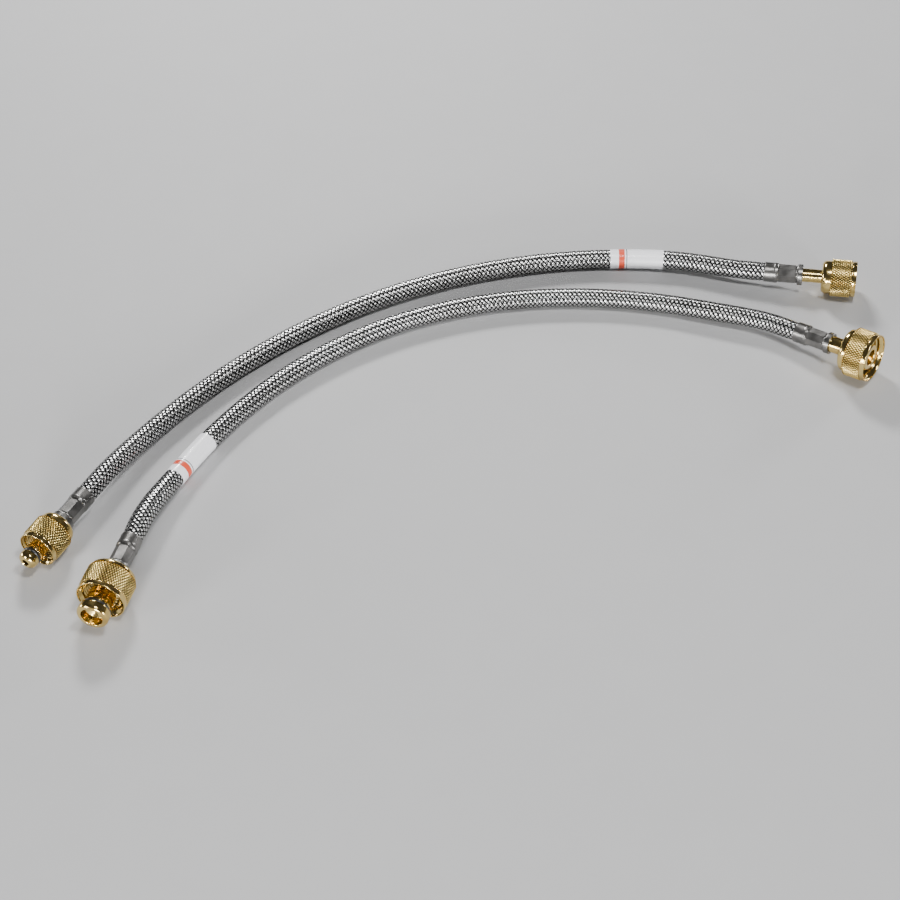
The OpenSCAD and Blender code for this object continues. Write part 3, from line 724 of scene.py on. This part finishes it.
def hand_nut(union):
    """The brass nut: rounded collar, a band of raised diamonds, a groove, a plain rim,
    and a mouth with a thread inside.

    Diamonds are the lower of two crossing zigzag waves with their tips cut off. The
    thread is one zigzag wave that climbs by its pitch in each turn.
    """
    n, k = union.nut_len, union.nut_d / 2
    stem = union.stem_d / 2 + NUT_CLEAR
    collar, back, rim = union.collar_d / 2, union.back_d / 2, union.rim_d / 2
    crest, mouth_r = union.thread_d / 2, rim - union.rim_t
    root = crest + THREAD_DEEP
    teeth, soft = union.teeth, union.collar_round
    pitch = FULL_TURN * k / teeth / math.tan(math.radians(KNURL_ANGLE))
    band0, band1 = union.collar_w, n - union.rim_w - KNURL_GROOVE_W
    groove_r, rim_at = rim - 0.3, n - union.rim_w
    bevel_at = n - union.mouth_w - (mouth_r - root)
    top, low = bevel_at - 0.4, union.back_t + 2.0

    curve = ellipse_arc(back, soft, collar - back, soft, -82, 0, 9)
    shell = [(crest, union.back_t), (stem, union.back_t), (stem, 0.0), (back, 0.0)]
    tail = rounded_between([(mouth_r, n), *shell, tuple(curve[0])], 0.3, steps=3)
    rise = np.array([(collar, band0 - 0.01), (k, band0)])
    band = even_wall(k, band0, band1, pitch / KNURL_STEPS)
    mouth = rounded_between(
        [
            (k, band1 + 0.01), (groove_r, band1 + 0.02), (groove_r, rim_at),
            (rim, rim_at + 0.02), (rim, n), (mouth_r, n),
            (mouth_r, n - union.mouth_w), (root, bevel_at), (root, 0.0),
        ],
        0.38,
        steps=4,
    )  # fmt: skip
    wall = even_wall(root, top, low, union.thread_pitch / THREAD_STEPS)
    pocket = np.array([(root + 0.1, low - 0.05), (crest + 0.7, union.back_t)])
    parts = [tail, curve, rise, band, mouth, wall, pocket]
    outline = np.concatenate(parts)
    owner = np.repeat(np.arange(len(parts)), [len(part) for part in parts])
    knurled, threaded = owner == 3, owner == 5
    # share of a wave at which the diamonds' tips are cut off, slope and depth of the
    # band's two ends, and lengths over which the thread starts and runs out
    tip_cut, end_slope, end_deep, run_in, run_out = 0.75, 1.1, 0.45, 1.2, 1.6

    def cut(r, t, angle):
        t = t - union.nut_at
        turn = teeth * angle / FULL_TURN
        d = np.minimum(zigzag(turn + t / pitch), zigzag(turn - t / pitch))
        d = np.minimum(d, tip_cut) / tip_cut
        slope = np.minimum(t - band0, band1 - t) * end_slope + k - end_deep
        knurl = np.minimum(k - KNURL_DEEP * (1 - d), slope)
        climb = zigzag(t / union.thread_pitch + angle / FULL_TURN)
        fade = step(t, low, low + run_in) * (1 - step(t, top - run_out, top))
        ridge = np.clip(climb * 1.5 - 0.25, 0, 1)
        thread = crest + THREAD_DEEP * (1 - fade * ridge)
        r = np.where(threaded[:, None], thread, r)
        return np.where(knurled[:, None], knurl, r)

    moved = outline + np.array([0.0, union.nut_at])
    name, columns = union.name + "_hand_nut", teeth * KNURL_STEPS
    piece = turned(union, name, moved, columns, shape=cut, sharp=30)
    map_diamonds(piece, teeth, pitch, np.flatnonzero(knurled), outline[:, 1])
    return piece


# Each kind of fitting piece: what makes it, and the end of its body's name, if it
# moves on a body of its own
FITTINGS = {
    "ferrule": (steel_ferrule, None),
    "tailpiece": (brass_tailpiece, None),
    "oring": (seal_ring, None),
    "washer": (slip_washer, "_slip_ring"),
    "nut": (hand_nut, "_hand_nut"),
}
fitted = {kind: [] for kind in FITTINGS}
for union in (FRONT_LEFT, FRONT_RIGHT, REAR_LEFT, REAR_RIGHT):
    for kind, (make, body) in FITTINGS.items():
        piece = make(union)
        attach(piece, union.name + body if body else ROOT)
        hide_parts(f"{union.name}_{kind}")
        fitted[kind].append(piece)

# ---------------------------------------------------------------- materials


class Wire:
    """A node socket that can be used in arithmetic: each operation adds a node."""

    def __init__(self, sheet, socket):
        self.sheet, self.socket = sheet, socket

    def _math(self, operation, *values):
        out = self.sheet.node("ShaderNodeMath", {"operation": operation}, values)
        return Wire(self.sheet, out.outputs[0])

    def __add__(self, other):
        return self._math("ADD", self, other)

    def __sub__(self, other):
        return self._math("SUBTRACT", self, other)

    def __rsub__(self, other):
        return self._math("SUBTRACT", other, self)

    def __mul__(self, other):
        return self._math("MULTIPLY", self, other)

    __rmul__ = __mul__

    def __abs__(self):
        return self._math("ABSOLUTE", self)

    def sine(self):
        return self._math("SINE", self)

    def fraction(self):
        return self._math("FRACT", self)

    def lower(self, other):
        return self._math("MINIMUM", self, other)

    def above(self, edge):
        return self._math("GREATER_THAN", self, edge)

    def ramp(self, low, high, to_low=0.0, to_high=1.0):
        """This value carried in a straight line from low..high to to_low..to_high, and
        held past them."""
        values = [self, low, high, to_low, to_high]
        out = self.sheet.node("ShaderNodeMapRange", {}, values)
        return Wire(self.sheet, out.outputs[0])


class Finish:
    """One material: makes nodes and joins them to the surface shader."""

    def __init__(self, name):
        self.material = bpy.data.materials.new(name)
        self.material.use_nodes = True
        self.tree = self.material.node_tree
        self.shader = self.tree.nodes["Principled BSDF"]

    def feed(self, socket, value):
        """A link into the socket from a Wire, or else the socket's own value."""
        if isinstance(value, Wire):
            self.tree.links.new(value.socket, socket)
        else:
            socket.default_value = value

    def node(self, kind, settings=None, values=None):
        """A node of the given type. Its settings are set first, and then its sockets,
        from a list in their order or from a dict by name or number."""
        made = self.tree.nodes.new(kind)
        for key, value in (settings or {}).items():
            setattr(made, key, value)
        items = values.items() if isinstance(values, dict) else enumerate(values or [])
        for key, value in items:
            self.feed(made.inputs[key], value)
        return made

    def out(self, made, key=0):
        return Wire(self, made.outputs[key])

    def coordinates(self):
        """The piece's own coordinates, in metres."""
        return self.out(self.node("ShaderNodeTexCoord"), "Object")

    def uv(self):
        """The piece's own UV map, split into its two numbers."""
        whole = self.out(self.node("ShaderNodeUVMap"))
        split = self.node("ShaderNodeSeparateXYZ", {}, [whole])
        return self.out(split, 0), self.out(split, 1)

    def joined(self, x, y):
        """A place made of two numbers."""
        return self.out(self.node("ShaderNodeCombineXYZ", {}, [x, y, 0.0]))

    def noise(self, vector, scale, detail=3.0, rough=0.55):
        values = {"Vector": vector, "Scale": scale, "Detail": detail}
        values["Roughness"] = rough
        return self.out(self.node("ShaderNodeTexNoise", {}, values))

    def blend(self, share, first, second):
        """A colour between two, by share."""
        values = {0: share, 6: first, 7: second}
        return self.out(self.node("ShaderNodeMix", {"data_type": "RGBA"}, values), 2)

    def bump(self, height, strength, distance):
        values = {"Strength": strength, "Distance": distance, "Height": height}
        made = self.node("ShaderNodeBump", {}, values)
        self.feed(self.shader.inputs["Normal"], self.out(made))

    def set(self, **sockets):
        """Sets the shader's sockets by name, and gives the finished material."""
        for key, value in sockets.items():
            self.feed(self.shader.inputs[key.replace("_", " ")], value)
        return self.material


def rgb(r, g, b):
    return (r, g, b, 1.0)


def grey(value):
    return rgb(value, value, value)


def braid_wire():
    """Bright stainless tape of six fine wires side by side. Painted shade makes it
    nearly black at its edges and where it dives under the next tape, and darker in the
    valleys between its wires. v counts the tapes passed, and the tape is on top at even
    counts."""
    f = Finish("bright_braid_wire")
    place = f.coordinates()
    u, v = f.uv()
    patch = f.noise(place, scale=240.0, detail=2.0)
    broad = f.noise(place, scale=28.0, detail=2.0)
    ridge = abs((u * (6.0 * math.pi)).sine())
    f.bump(ridge + 0.1 * patch, strength=0.3, distance=0.00006)
    # painted shade: these two masks blend the tape to near black where it dives under
    # the next tape and towards its two edges
    unshaded_top = ((v + 0.5) * math.pi).sine().ramp(0.18, 0.7)
    middle = 1 - abs(u * 2 - 1).ramp(0.5, 0.95)
    bright = f.blend(broad.ramp(0.35, 0.65), rgb(0.7, 0.695, 0.68), grey(0.81))
    # painted shade: the valleys between the fine wires are darker grey
    wires = f.blend(ridge.ramp(0.0, 0.3), grey(0.3), bright)
    return f.set(
        Base_Color=f.blend(unshaded_top * middle, grey(0.012), wires),
        Metallic=1.0,
        Roughness=patch.ramp(0.3, 0.7, 0.277, 0.29),
    )


def crimped_steel():
    """Drawn stainless with fine rubbing round it, and small scuffs from the crimping
    dies."""
    f = Finish("crimped_steel")
    place = f.coordinates()
    u, v = f.uv()
    rings = f.noise(f.joined(u * 4.0, v * 60.0), scale=6.0)
    scuff = f.noise(place, scale=900.0, detail=2.0)
    smear = f.noise(place, scale=160.0)
    f.bump(0.6 * rings + 0.4 * scuff, strength=0.22, distance=0.00008)
    dark, light = rgb(0.17, 0.167, 0.16), rgb(0.28, 0.272, 0.262)
    return f.set(
        Base_Color=f.blend(smear.ramp(0.35, 0.7), dark, light),
        Metallic=1.0,
        Roughness=smear.ramp(0.3, 0.7, 0.28, 0.38),
    )


def turned_brass():
    """Bright turned brass: faint lathe rings, uneven tarnish and small scuffs."""
    f = Finish("turned_brass")
    place = f.coordinates()
    u, v = f.uv()
    rings = f.noise(f.joined(u * 1.5, v * 160.0), scale=5.0, detail=2.0)
    tarnish = f.noise(place, scale=130.0)
    spot = f.noise(place, scale=700.0, detail=2.0)
    f.bump(rings, strength=0.16, distance=0.00006)
    clean, dull = rgb(0.79, 0.6, 0.23), rgb(0.68, 0.48, 0.16)
    return f.set(
        Base_Color=f.blend(tarnish.ramp(0.38, 0.68), clean, dull),
        Metallic=1.0,
        Roughness=(0.7 * tarnish + 0.3 * spot).ramp(0.35, 0.65, 0.1, 0.2),
    )


def knurled_brass():
    """The same brass on the diamonds, with painted shade, nearly black, in the bottom
    of the two sets of crossing cuts."""
    f = Finish("knurled_brass")
    place = f.coordinates()
    u, v = f.uv()
    rise = (1 - abs(u.fraction() * 2 - 1)).lower(1 - abs(v.fraction() * 2 - 1))
    tarnish = f.noise(place, scale=130.0)
    spot = f.noise(place, scale=900.0, detail=2.0)
    f.bump(spot, strength=0.15, distance=0.00006)
    clean, dull = rgb(0.92, 0.69, 0.25), rgb(0.8, 0.56, 0.17)
    crest = f.blend(tarnish.ramp(0.38, 0.68), clean, dull)
    return f.set(
        # painted shade: near-black brown in the bottom of the cuts, by how far each
        # point lies below a diamond's top
        Base_Color=f.blend(rise.ramp(0.15, 0.65), rgb(0.05, 0.032, 0.008), crest),
        Metallic=1.0,
        Roughness=(0.6 * tarnish + 0.4 * spot).ramp(0.35, 0.65, 0.28, 0.36),
    )


def black_rubber():
    """Satin black rubber with a fine grain."""
    f = Finish("black_rubber")
    grain = f.noise(f.coordinates(), scale=1500.0)
    f.bump(grain, strength=0.25, distance=0.00006)
    return f.set(
        Base_Color=f.blend(grain, grey(0.012), grey(0.03)),
        Roughness=grain.ramp(0.3, 0.7, 0.24, 0.4),
    )


def plain_steel():
    """Pressed steel, slightly uneven in gloss."""
    f = Finish("plain_steel")
    grain = f.noise(f.coordinates(), scale=600.0)
    f.bump(grain, strength=0.1, distance=0.00005)
    return f.set(
        Base_Color=grey(0.6),
        Metallic=1.0,
        Roughness=grain.ramp(0.3, 0.7, 0.28, 0.42),
    )


def label_film():
    """White film with one orange-red band and a thin slate line, both plain, and faint
    creases whose hollows carry painted shade, a little bluish. u runs along the hose
    and v round it."""
    f = Finish("label_film")
    place = f.coordinates()
    u, v = f.uv()
    crease = f.noise(f.joined(u * 3.0, v * 14.0), scale=3.0, detail=4.0, rough=0.6)
    fibre = f.noise(place, scale=1200.0, detail=2.0)
    f.bump(0.8 * crease + 0.2 * fibre, strength=0.35, distance=0.0002)
    band = u.above(0.16) * (1 - u.above(0.27))
    line = u.above(0.3) * (1 - u.above(0.318))
    # painted shade: the film is greyer and bluer in the creases' hollows
    painted_crease_shade, clean = rgb(0.86, 0.86, 0.9), rgb(0.95, 0.95, 0.965)
    white = f.blend(crease.ramp(0.3, 0.7), painted_crease_shade, clean)
    banded = f.blend(band, white, rgb(0.72, 0.075, 0.03))
    return f.set(
        Base_Color=f.blend(line, banded, rgb(0.06, 0.08, 0.1)),
        Roughness=fibre.ramp(0.3, 0.7, 0.3, 0.42),
        Coat_Weight=0.25,
    )


def dress(pieces, material):
    """Gives pieces a further material."""
    for piece in pieces:
        piece.data.materials.append(material)


dress(front_tapes + rear_tapes, braid_wire())
dress([front_core, rear_core], black_rubber())
dress([front_wrap, rear_wrap], label_film())
dress(fitted["ferrule"], crimped_steel())
dress(fitted["tailpiece"] + fitted["nut"], turned_brass())
dress(fitted["nut"], knurled_brass())
dress(fitted["oring"], black_rubber())
dress(fitted["washer"], plain_steel())

# ---------------------------------------------------------------- floor and light

FLOOR_R, FLOOR_Z, FLOOR_CORNERS = 850.0, -0.05, 256
# Place of each light's middle, its two sides and its power
LIGHTS = {
    "front_low": ((-0.28, -1.24, 0.22), (0.25, 0.15), 18.0),
    "left_edge": ((-1.37, 0.22, 0.17), (0.4, 0.15), 6.0),
    "left_front": ((-1.08, -0.78, 0.3), (0.25, 0.2), 9.0),
    "right_low": ((0.99, -0.89, 0.2), (0.25, 0.2), 11.0),
    "right_behind": ((1.05, 0.88, 0.29), (0.25, 0.2), 6.0),
    "above": ((0.25, -0.18, 1.2), (0.25, 0.25), 10.0),
    "behind": ((-0.22, 1.12, 0.82), (0.3, 0.2), 20.0),
}
LIGHTS_AIM = Vector((0.0, 0.03, 0.0))
# Strength of the world above and below the horizon, and the height of the change
DIM, PALE, HORIZON = 0.06, 0.88, 0.02


def pale_floor():
    """A round plain floor, flat under the hoses."""
    f = Finish("pale_floor")
    grain = f.noise(f.coordinates(), scale=40.0, detail=2.0)
    f.set(
        Base_Color=f.blend(grain, rgb(0.45, 0.45, 0.453), rgb(0.47, 0.47, 0.473)),
        Roughness=0.7,
    )
    turn = around(FLOOR_CORNERS)
    rim = [FLOOR_R * np.cos(turn), FLOOR_R * np.sin(turn), np.full_like(turn, FLOOR_Z)]
    floor = make_piece("floor", np.stack(rim, -1), np.arange(FLOOR_CORNERS)[None])
    floor.data.materials.append(f.material)


def soft_light(name, place, size, power):
    """A rectangular light that the camera doesn't see."""
    data = bpy.data.lights.new(name, "AREA")
    data.shape, data.size, data.size_y = "RECTANGLE", size[0], size[1]
    data.energy = power
    lamp = bpy.data.objects.new(name, data)
    bpy.context.scene.collection.objects.link(lamp)
    lamp.location = place
    lamp.visible_camera = False
    lamp.rotation_euler = (
        (LIGHTS_AIM - Vector(place)).to_track_quat("-Z", "Y").to_euler()
    )


def studio_room():
    """The world: dim above the horizon, and below it as pale as the lit floor, which
    it carries on."""
    world = bpy.data.worlds.new("room")
    world.use_nodes = True
    nodes, links = world.node_tree.nodes, world.node_tree.links
    direction = nodes.new("ShaderNodeTexCoord")
    parts = nodes.new("ShaderNodeSeparateXYZ")
    glow = nodes.new("ShaderNodeMapRange")
    span = {"From Min": -HORIZON, "From Max": 0.0, "To Min": PALE, "To Max": DIM}
    for key, value in span.items():
        glow.inputs[key].default_value = value
    background = nodes["Background"]
    background.inputs["Color"].default_value = rgb(0.8, 0.82, 0.85)
    links.new(direction.outputs["Generated"], parts.inputs[0])
    links.new(parts.outputs["Z"], glow.inputs["Value"])
    links.new(glow.outputs["Result"], background.inputs["Strength"])
    bpy.context.scene.world = world


pale_floor()
for name, (place, size, power) in LIGHTS.items():
    soft_light(name, place, size, power)
studio_room()
